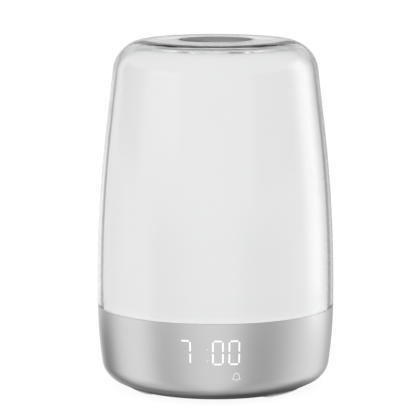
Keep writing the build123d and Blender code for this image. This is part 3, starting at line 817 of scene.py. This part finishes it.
def joined(name, shapes):
    """One object from flat shapes, each a list of vertices and a list of faces."""
    verts, faces = [], []
    for shape_verts, shape_faces in shapes:
        start = len(verts)
        verts += shape_verts
        faces += [tuple(start + i for i in face) for face in shape_faces]
    return mesh_object(name, verts, (), faces)


print("drawing tools ready")

# %% Light the figures
figure_pitch = math.radians(7.79)
figure_radius = 61.8 * MM
figure_width = 5.1 * MM
figure_height = 12.1 * MM
figure_middle = under_z + 27.0 * MM
stroke = 0.86 * MM
corner_gap = 0.52 * MM
cell_gap = 0.55 * MM
dot_turn = math.radians(2.9) * figure_radius
dot_size = 0.62 * MM
dot_rises = (1.76 * MM, -4.25 * MM)
light_change, light_scale = 0.02, 900.0

wall_values = {
    "Wall Curve": base_curve,
    "Centre Radius": base_centre[0],
    "Centre Height": base_centre[1],
    "Unit Radius": figure_radius,
    "Proud": 0.03 * MM,
    "Depth": 0.12 * MM,
}
level_bars = {"top": 1, "middle": 0, "foot": -1}
upright_bars = {"left": -1, "right": 1}
lit = {
    "7": ("top", "right upper", "right lower"),
    "0": ("top", "foot", "left upper", "left lower", "right upper", "right lower"),
}


def glow(name, level):
    """Light that comes through the wall: an even glow with a faint unevenness."""
    made = grain(name, (0.28, 0.28, 0.28), 0.5, light_scale, 0.0, 0.03, 0.05)
    tree = made.node_tree
    white = (1.0, 1.0, 1.0, 1.0)
    values = {"Colour": white, "Colour Change": light_change, "Grain Scale": light_scale}
    light = add_node(tree, "ShaderNodeGroup", values, node_tree=surface_grain)
    inputs = {"Emission Color": light.outputs["Colour"], "Emission Strength": level}
    feed(tree, tree.nodes["Principled BSDF"], inputs)
    return made


def light_sign(name, shapes, light, level):
    """Joins flat shapes, wraps them on the wall as one closed sign and lights it."""
    values = dict(wall_values, Finish=glow(light, level))
    made = run_tree(joined(name, shapes), wrap_on_wall, values)
    return settle(face_outwards(made), CLOCK, "led_yellow")


def figure(sign, turn):
    """Bars of one figure, centred at an angle round the wall."""
    x = turn * figure_radius
    shapes = []
    across = figure_width - 2 * corner_gap
    tall = figure_height / 2 - corner_gap - cell_gap
    for place in lit[sign]:
        if place in level_bars:
            z = figure_middle + level_bars[place] * figure_height / 2
            shapes.append(bar(x, z, across, stroke, False))
        else:
            side, half = place.split()
            sense = 1 if half == "upper" else -1
            z = figure_middle + sense * (cell_gap + tall / 2)
            shapes.append(bar(x + upright_bars[side] * figure_width / 2, z, tall, stroke, True))
    return shapes


shapes = figure("7", -figure_pitch) + figure("0", figure_pitch) + figure("0", 2 * figure_pitch)
figures = light_sign("lit_figures", shapes, "figure_light", 0.80)
dots = [bar(dot_turn, figure_middle + rise, dot_size, dot_size, True, 2) for rise in dot_rises]
colon = light_sign("lit_colon", dots, "colon_light", 0.62)
print("figures:", len(figures.data.polygons), "faces, colon:", len(colon.data.polygons), "faces")

# %% [markdown]
# ## The bell
# A bell is an outline with a rounded head, sides that flare to a rim, and a clapper below. Its
# points are worked out from the head's curve and the rim, mirrored about the middle.

# %% Draw the bell
bell_turn = math.radians(16.8) * figure_radius
bell_foot = under_z + 12.75 * MM
bell_head = 1.48 * MM
bell_shoulder = 1.75 * MM
bell_crown = 1.68 * MM
bell_rim = 2.05 * MM
bell_line = 0.34 * MM
bell_flare = [(-bell_rim, 0.0), (-0.84 * bell_rim, 0.40 * MM), (-1.05 * bell_head, 1.0 * MM)]
crown_sweep, crown_steps = 75.0, 10
clapper_half, clapper_drop = 0.5 * MM, 0.62 * MM


def bell_shapes(x, z, line, size=1.0):
    """A bell with its rim's middle at (x, z): the closed line round it and the clapper below."""
    places = [2 * crown_sweep * i / crown_steps for i in range(crown_steps + 1)]
    turns = [math.radians(90.0 + crown_sweep - place) for place in places]
    crown = [(bell_head * math.cos(a), bell_shoulder + bell_crown * math.sin(a)) for a in turns]
    points = bell_flare + crown + [(-a, b) for a, b in bell_flare[::-1]]
    outline = [(x + size * a, z + size * b) for a, b in points]
    clapper = [(x + side * clapper_half * size, z - clapper_drop * size) for side in (-1, 1)]
    return [strip(outline, line, True), strip(clapper, line)]


shapes = bell_shapes(bell_turn, bell_foot, bell_line)
bell = light_sign("lit_bell", shapes, "bell_light", 0.64)
print("bell:", len(bell.data.polygons), "faces")

# %% [markdown]
# ## Signs on the keys
# The keys at the back are printed with plain signs in dark ink: a clock, a bell, less, more and
# sound. A sign is a layer of ink a few hundredths thick, drawn with the same strips as the bell,
# and it rides on its own key, so that it goes in with it.

# %% Print the signs of the keys
ink_thick = 0.03 * MM
ink_sunk = ink_thick / 3
ink_line = 0.24 * MM
ring_radius = 1.25 * MM
hand, hour, minute = 0.12, 0.62, 0.82
arm, half = 1.0, 0.14
key_ink = grain("key_ink", (0.035, 0.036, 0.038), 0.55, 2400.0, 0.004 * MM, 0.08)


def outlined(*points):
    """One flat face through points given in millimetres."""
    return [(x * MM, 0.0, z * MM) for x, z in points], [tuple(range(len(points)))]


hands = outlined(
    (-hand, minute), (-hand, -hand), (hour, -hand), (hour, hand), (hand, hand), (hand, minute)
)
less = outlined((-arm, -half), (arm, -half), (arm, half), (-arm, half))
more = outlined(
    (-arm, -half), (-half, -half), (-half, -arm), (half, -arm), (half, -half), (arm, -half),
    (arm, half), (half, half), (half, arm), (-half, arm), (-half, half), (-arm, half),
)
horn = outlined((-1.3, -0.4), (-0.9, -0.4), (-0.3, -0.95), (-0.3, 0.95), (-0.9, 0.4), (-1.3, 0.4))
waves = [arc((-0.35 * MM, 0.0), radius * MM, -48.0, 48.0, 8) for radius in (0.75, 1.3)]
signs = {
    "clock_key": [strip(arc((0.0, 0.0), ring_radius, 0.0, 345.0, 23), ink_line, True), hands],
    "alarm_key": bell_shapes(0.0, -1.0 * MM, ink_line, 0.66),
    "minus_key": [less],
    "plus_key": [more],
    "sound_key": [horn] + [strip(wave, ink_line) for wave in waves],
}


def printed(name, shapes, middle, face_y):
    """Layer of ink on a face that looks backwards; the drawing reads from behind the clock."""
    made = joined(name, shapes)
    with opened(made.data) as work:
        for vert in work.verts:
            vert.co = Vector((middle.x - vert.co.x, face_y - ink_sunk, middle.z + vert.co.z))
        raised = bmesh.ops.extrude_face_region(work, geom=work.faces[:])
        tops = [item for item in raised["geom"] if isinstance(item, bmesh.types.BMVert)]
        bmesh.ops.translate(work, verts=tops, vec=(0.0, ink_thick, 0.0))
    made.data.materials.append(key_ink)
    return face_outwards(made)


for node, shapes in signs.items():
    low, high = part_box(node)
    settle(printed(node + "_sign", shapes, (low + high) / 2, high.y), node, "dark_plastic")
print("signs printed on", len(signs), "keys")

# %% [markdown]
# ## The cover's screws
# Four screws with a cross recess hold the cover. One is turned, its recess is cut, and a tree sets
# it in the four holes. Each is turned by its own angle, because no two screws stop alike.

# %% Build the placing tree
turn_range = math.pi


def build_placing():
    """Geometry Nodes tree that sets one piece on every given point, each at its own angle."""
    inputs = {"Places": "Geometry", "Piece": "Object", "Turn Seed": 0, "Finish": "Material"}
    outputs = {"Pieces": "Geometry"}
    tree, source, sink = new_tree("place_pieces", "GeometryNodeTree", inputs, outputs)
    piece = add_node(tree, "GeometryNodeObjectInfo", {"Object": source["Piece"]})
    inputs = {3: turn_range, "Seed": source["Turn Seed"]}
    chance = add_node(tree, "FunctionNodeRandomValue", inputs, data_type="FLOAT").outputs[1]
    turn = combined(tree, 0.0, 0.0, chance)
    rotation = add_node(tree, "FunctionNodeEulerToRotation", {0: turn}).outputs[0]
    inputs = {
        "Points": source["Places"], "Instance": piece.outputs["Geometry"], "Rotation": rotation,
    }
    put = add_node(tree, "GeometryNodeInstanceOnPoints", inputs)
    return end_tree(tree, source, sink, put.outputs[0])


place_pieces = build_placing()
print("placing tree:", len(place_pieces.nodes), "nodes")

# %% Turn one screw and set four
head_radius, head_height, head_edge, head_bend = 2.9 * MM, 2.2 * MM, 0.45 * MM, 0.13 * MM
shank_radius, thread_depth, thread_pitch = 1.45 * MM, 0.22 * MM, 0.8 * MM
recess_arm, recess_width, recess_depth = 1.65 * MM, 0.62 * MM, 1.2 * MM

low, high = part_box("bottom_screws")
length = high.z - low.z
screw_line = [(0.0, 0.0), (head_radius - head_edge, 0.0), (head_radius - head_bend, head_bend)]
screw_line += [(head_radius, head_edge), (head_radius, head_height), (shank_radius, head_height)]
for i in range(int((length - head_height) / thread_pitch) - 1):
    z = head_height + (i + 1) * thread_pitch
    screw_line += [(shank_radius, z), (shank_radius - thread_depth, z + thread_pitch / 2)]
screw_line += [(shank_radius, length), (0.0, length)]
zinc_steel = grain(
    "zinc_steel", (0.56, 0.56, 0.57), 0.32, 2600.0, 0.004 * MM, 0.06, 0.08, Metallic=1.0
)
one_screw = turned("one_screw", screw_line, zinc_steel, 48)
for wide, deep in ((recess_arm, recess_width / 2), (recess_width / 2, recess_arm)):
    cut(one_screw, boxed("recess", (-wide, -deep, -recess_depth), (wide, deep, recess_depth)))

rows = (low.x + head_radius, high.x - head_radius)
columns = (low.y + head_radius, high.y - head_radius)
screws = mesh_object("cover_screws", [(x, y, low.z) for x in rows for y in columns])
run_tree(screws, place_pieces, {"Piece": one_screw, "Turn Seed": 5, "Finish": zinc_steel})
bpy.data.objects.remove(one_screw)
shade(face_outwards(screws), crease_angle)
settle(screws, CLOCK, "steel", "bottom_screws")
print("screws:", len(screws.data.polygons), "faces")

# %% [markdown]
# ## Finishes for the pieces inside
# The pieces inside never show while the clock is whole, but someone may take it apart, so each
# one gets the finish of its real material. They keep the frame's own mesh.

# %% Finish the inner pieces
inner = [
    (
        grain("white_moulding", (0.80, 0.80, 0.79), 0.42, 1900.0, 0.01 * MM),
        ("collar_nut", "centre_post", "lamp_reflector", "light_tray"),
    ),
    (
        grain("black_moulding", (0.022, 0.022, 0.024), 0.45, 2100.0, 0.015 * MM, 0.08),
        ("display_block", "cell_holder", "button_switch", "rear_switches", "processor_chip"),
    ),
    (
        grain("green_mask", (0.020, 0.120, 0.060), 0.32, 350.0, 0.02 * MM, 0.18),
        ("button_board", "display_board", "main_board", "rear_board"),
    ),
    (grain("white_mask", (0.80, 0.80, 0.78), 0.35, 350.0, 0.01 * MM), ("lamp_board",)),
    (grain("phosphor", (0.85, 0.66, 0.20), 0.35, 900.0, 0.01 * MM, 0.06), ("lamp_leds",)),
    (lathed("mill_aluminium", (0.68, 0.68, 0.69), 0.38, 1500.0, 0.01 * MM), ("heat_plate",)),
    (zinc_steel, ("lamp_screws", "board_screws")),
    (
        grain("nickel", (0.66, 0.64, 0.60), 0.20, 2200.0, 0.002 * MM, 0.04, Metallic=1.0),
        ("backup_cell", "capacitors"),
    ),
    (grain("ferrite", (0.030, 0.030, 0.032), 0.62, 1400.0, 0.03 * MM, 0.10), ("speaker_magnet",)),
    (grain("black_paint", (0.020, 0.020, 0.021), 0.38, 700.0, 0.01 * MM, 0.06), ("speaker_frame",)),
    (grain("cone_paper", (0.045, 0.043, 0.042), 0.85, 1600.0, 0.04 * MM, 0.20), ("speaker_cone",)),
    (grain("gasket_foam", (0.030, 0.030, 0.031), 0.95, 2600.0, 0.10 * MM, 0.25), ("speaker_gasket",)),
    (grain("lead_jacket", (0.025, 0.025, 0.026), 0.50, 1200.0, 0.01 * MM), ("button_lead",)),
    (pin_metal, ("jack_pin",)),
]
for finish, nodes in inner:
    for node in nodes:
        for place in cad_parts[node].material_slots:
            place.material = finish
print("inner nodes finished:", sum(len(nodes) for finish, nodes in inner))

# %% [markdown]
# ## Studio
# The clock stands on a plain pale floor in an even white studio. A curved metal surface shows only
# what is around it, so the studio also has walls that are darker on some sides and soft-edged
# cards, dark and bright, which draw the upright bands on the satin base, the highlight along the
# dome and the reflections in the flat top. They live in the world's own shader as soft rectangles
# of direction. Some cards are met by mirrored light and by light that comes through the acrylic,
# others by one of the two alone, so each surface can be lit on its own. Diffuse light meets one
# even level, and what the camera sees behind the clock stays plain white.

# %% Build one soft card as a shader group
almost_one = 0.999999


def smooth_step(tree, value, start, end):
    inputs = {"Value": value, "From Min": start, "From Max": end}
    made = add_node(tree, "ShaderNodeMapRange", inputs, interpolation_type="SMOOTHSTEP")
    return made.outputs["Result"]


def build_card():
    """Mask that is 1 inside a soft rectangle of directions, given in degrees."""
    inputs = {
        "Azimuth": 0.0, "Elevation": 0.0, "Centre": 0.0, "Half Width": 20.0,
        "Low": -60.0, "High": 60.0, "Soft Side": 10.0, "Soft End": 10.0,
    }
    tree, source, sink = new_tree("studio_card", "ShaderNodeTree", inputs, {"Mask": "Float"})
    away = calc(tree, "SUBTRACT", source["Azimuth"], source["Centre"])
    near = calc(tree, "COSINE", calc(tree, "RADIANS", away))
    near = calc(tree, "MAXIMUM", calc(tree, "MINIMUM", near, almost_one), -almost_one)
    apart = calc(tree, "DEGREES", calc(tree, "ARCCOSINE", near))
    outer = calc(tree, "ADD", source["Half Width"], source["Soft Side"])
    below = calc(tree, "SUBTRACT", source["Low"], source["Soft End"])
    above = calc(tree, "ADD", source["High"], source["Soft End"])
    inside = smooth_step(tree, apart, outer, source["Half Width"])
    foot = smooth_step(tree, source["Elevation"], below, source["Low"])
    head = smooth_step(tree, source["Elevation"], above, source["High"])
    mask = calc(tree, "MULTIPLY", calc(tree, "MULTIPLY", inside, foot), head)
    feed(tree, sink, {"Mask": mask})
    return tree


studio_card = build_card()
print("card group:", len(studio_card.nodes), "nodes")

# %% Build the world
camera_turn = 6.64
world_level = 0.96
brightest = 1.25
low_walls = [
    (-180, 1.00), (-150, 0.95), (-125, 0.80), (-106, 0.90), (-86, 0.98), (-70, 0.88),
    (-54, 0.54), (-40, 0.62), (-20, 0.82), (4, 0.88), (22, 0.74), (46, 0.44), (64, 0.52),
    (84, 0.77), (104, 0.92), (122, 0.97), (136, 0.84), (153, 0.48), (180, 1.00),
]
high_walls = [
    (-180, 0.95), (-170, 0.86), (-159, 0.62), (-147, 0.82), (-130, 0.93), (-110, 0.93),
    (-85, 1.00), (-20, 1.02), (40, 0.96), (80, 0.92), (130, 0.85), (149, 0.42), (166, 0.58),
    (180, 0.95),
]
low_end, high_start = -6.0, 2.0
card_sizes = ("Centre", "Half Width", "Low", "High", "Soft Side", "Soft End")
cards = [
    # the six sizes in degrees, brightness, light that meets it
    (114.0, 5.0, -8.0, 25.0, 15.0, 5.0, 1.66, "all"),
    (-60.0, 18.0, 9.0, 19.0, 4.0, 8.0, 1.40, "all"),
    (-110.0, 17.0, 2.0, 16.0, 9.0, 4.0, 0.28, "through"),
    (68.0, 21.0, 2.0, 17.0, 11.0, 4.0, 0.25, "through"),
    (-156.0, 16.0, 1.0, 24.0, 8.0, 3.0, 1.00, "mirrored"),
    (-139.0, 5.0, -80.0, -11.5, 24.0, 2.0, 0.20, "mirrored"),
    (90.0, 25.0, -85.0, -47.0, 30.0, 8.0, 0.56, "mirrored"),
    (-150.5, 2.5, -22.0, 26.0, 5.0, 10.0, 0.24, "through"),
    (166.0, 6.0, -22.0, 12.0, 5.0, 4.0, 0.88, "through"),
    (152.0, 2.0, -22.0, 12.0, 4.0, 4.0, 0.30, "through"),
    (150.0, 20.0, -62.0, -38.0, 24.0, 6.0, 0.25, "mirrored"),
    (-90.0, 25.0, -85.0, -48.0, 30.0, 12.0, 0.64, "mirrored"),
    (180.0, 23.3, 9.6, 46.6, 20.0, 2.5, 0.66, "mirrored"),
    (180.0, 13.2, 23.5, 40.6, 6.2, 3.4, 0.0, "mirrored"),
    (180.0, 1.3, 10.0, 29.2, 1.9, 2.5, 1.6, "mirrored"),
    (180.0, 17.9, 9.0, 9.4, 18.0, 1.6, 0.1, "mirrored"),
    (180.0, 3.0, -3.0, 6.6, 5.0, 1.4, 0.56, "mirrored"),
    (180.0, 5.8, 6.0, 28.6, 1.5, 2.0, 0.0, "through"),
    (180.0, 34.6, 28.5, 51.0, 28.0, 2.6, 0.65, "through"),
    (180.0, 13.7, 34.6, 54.7, 4.3, 10.0, 0.28, "through"),
    (180.0, 1.5, -2.2, 7.6, 1.5, 1.8, 1.6, "through"),
    (180.0, 5.7, 32.5, 34.2, 5.4, 1.5, 1.17, "through"),
]


def build_world():
    world = bpy.data.worlds.new("studio")
    world.use_nodes = True
    tree = world.node_tree
    tree.nodes.clear()
    x, y, z = split(tree, add_node(tree, "ShaderNodeTexCoord").outputs["Generated"])
    around = calc(tree, "DEGREES", calc(tree, "ARCTAN2", x, calc(tree, "MULTIPLY", y, -1.0)))
    shifted = calc(tree, "ADD", calc(tree, "SUBTRACT", around, camera_turn), 180.0)
    azimuth = calc(tree, "SUBTRACT", calc(tree, "FLOORED_MODULO", shifted, 360.0), 180.0)
    elevation = calc(tree, "DEGREES", calc(tree, "ARCSINE", z))

    def blend(factor, first, second):
        inputs = {"Factor": factor, 2: first, 3: second}
        return add_node(tree, "ShaderNodeMix", inputs, data_type="FLOAT").outputs[0]

    def walls(stops):
        share = calc(tree, "DIVIDE", calc(tree, "ADD", azimuth, 180.0), 360.0)
        made = add_node(tree, "ShaderNodeFloatCurve", {"Value": share})
        curve = made.mapping.curves[0]
        places = [((turn + 180.0) / 360.0, level / brightest) for turn, level in stops]
        curve.points[0].location = places[0]
        curve.points[1].location = places[-1]
        for place in places[1:-1]:
            curve.points.new(*place)
        made.mapping.update()
        return calc(tree, "MULTIPLY", made.outputs["Value"], brightest)

    rise = smooth_step(tree, elevation, low_end, high_start)
    level = blend(rise, walls(low_walls), walls(high_walls))
    path = add_node(tree, "ShaderNodeLightPath").outputs
    through = path["Is Transmission Ray"]
    mirrored = calc(tree, "SUBTRACT", path["Is Glossy Ray"], through, clamp=True)
    rays = {"mirrored": mirrored, "through": through}
    for *sizes, brightness, seen in cards:
        inputs = dict(zip(card_sizes, sizes), Azimuth=azimuth, Elevation=elevation)
        mask = add_node(tree, "ShaderNodeGroup", inputs, node_tree=studio_card).outputs["Mask"]
        if seen in rays:
            mask = calc(tree, "MULTIPLY", mask, rays[seen])
        level = blend(mask, level, brightness)

    level = blend(path["Is Diffuse Ray"], level, world_level)
    level = blend(path["Is Camera Ray"], level, 1.0)
    inputs = {"Color": (1.0, 1.0, 1.0, 1.0), "Strength": level}
    light = add_node(tree, "ShaderNodeBackground", inputs).outputs[0]
    add_node(tree, "ShaderNodeOutputWorld", {"Surface": light})
    world.cycles.sampling_method = "NONE"
    return world


bpy.context.scene.world = build_world()
print("world:", len(low_walls), "and", len(high_walls), "stops,", len(cards), "cards")

# %% [markdown]
# ## Floor
# The floor is pale and plain. The camera sees it almost white, and it keeps the soft shadow that
# the clock drops around its foot. Seen from below it is clear, so the underside can be looked at.
# Hardly any light gets under the clock, and its rounded foot mirrors that. A disc that only
# reflections see stands for this darkness.

# %% Lay the floor
floor_size = 12.0
floor_share = 0.12
floor_glow = 1.05
shade_inner = 50.5 * MM
shade_outer = 60.5 * MM
shade_depth = 0.86
disc_steps = 96


def mix_shaders(tree, factor, first, second):
    return add_node(tree, "ShaderNodeMixShader", {0: factor, 1: first, 2: second}).outputs[0]


def stage_finish(name, build):
    """Material with the shader that build makes on its upper side and nothing on the lower one."""
    made = bpy.data.materials.new(name)
    made.use_nodes = True
    tree = made.node_tree
    tree.nodes.clear()
    clear = add_node(tree, "ShaderNodeBsdfTransparent").outputs[0]
    below = add_node(tree, "ShaderNodeNewGeometry").outputs["Backfacing"]
    surface = mix_shaders(tree, below, build(tree), clear)
    add_node(tree, "ShaderNodeOutputMaterial", {"Surface": surface})
    return made


def floor_surface(tree):
    matt = add_node(tree, "ShaderNodeBsdfDiffuse", {"Color": (1.0, 1.0, 1.0, 1.0)}).outputs[0]
    white = add_node(tree, "ShaderNodeEmission", {"Strength": floor_glow}).outputs[0]
    return mix_shaders(tree, floor_share, white, matt)


def shade_surface(tree):
    """Darkness of the floor under the clock, fading out where light reaches in."""
    inputs = {
        "Value": about_axis(tree)[0], "From Min": shade_inner, "From Max": shade_outer,
        "To Min": shade_depth, "To Max": 0.0,
    }
    fade = add_node(tree, "ShaderNodeMapRange", inputs).outputs["Result"]
    dark = add_node(tree, "ShaderNodeBsdfDiffuse", {"Color": (0.02, 0.02, 0.02, 1.0)}).outputs[0]
    return mix_shaders(tree, fade, add_node(tree, "ShaderNodeBsdfTransparent").outputs[0], dark)


def flat_stage(name, outline, finish):
    corners = [(x, y, 0.0) for x, y in outline]
    made = mesh_object(name, corners, (), [tuple(range(len(corners)))])
    made.data.materials.append(finish)
    made.visible_diffuse = False
    made.visible_transmission = False
    made.visible_shadow = False
    return made


half = floor_size / 2
square = [(-half, -half), (half, -half), (half, half), (-half, half)]
floor = flat_stage("studio_floor", square, stage_finish("studio_floor", floor_surface))
floor.visible_glossy = False
turns = [2 * math.pi * i / disc_steps for i in range(disc_steps)]
disc = [(shade_outer * math.cos(a), shade_outer * math.sin(a)) for a in turns]
shade_disc = flat_stage("under_shade", disc, stage_finish("under_shade", shade_surface))
shade_disc.visible_camera = False
print("floor:", floor_size, "m square; shade under the clock:", round(shade_outer / MM, 1), "mm")

# %% [markdown]
# ## Camera
# A long lens from about 1.4 metres away keeps the clock's sides almost parallel, as in a product
# picture. The camera stands a little to the right of the display's own middle.

# %% Place the camera
view_distance = 1412.2 * MM
view_height = 295.65 * MM
aim_height = 91.5 * MM
lens_length = 233.6
sensor_width = 36.0
frame_shift = (-0.0180, 0.0127)
far_limit = 50.0


def place_camera():
    turn = math.radians(camera_turn)
    data = bpy.data.cameras.new("camera")
    made = in_scene("camera", data)
    made.location = (view_distance * math.sin(turn), -view_distance * math.cos(turn), view_height)
    away = Vector((0.0, 0.0, aim_height)) - made.location
    made.rotation_euler = away.to_track_quat("-Z", "Y").to_euler()
    data.lens = lens_length
    data.sensor_width = sensor_width
    data.shift_x, data.shift_y = frame_shift
    data.clip_end = far_limit
    bpy.context.scene.camera = made
    return made


camera = place_camera()
bpy.context.scene.view_settings.view_transform = "Standard"
print("camera at", [round(c, 3) for c in camera.location])
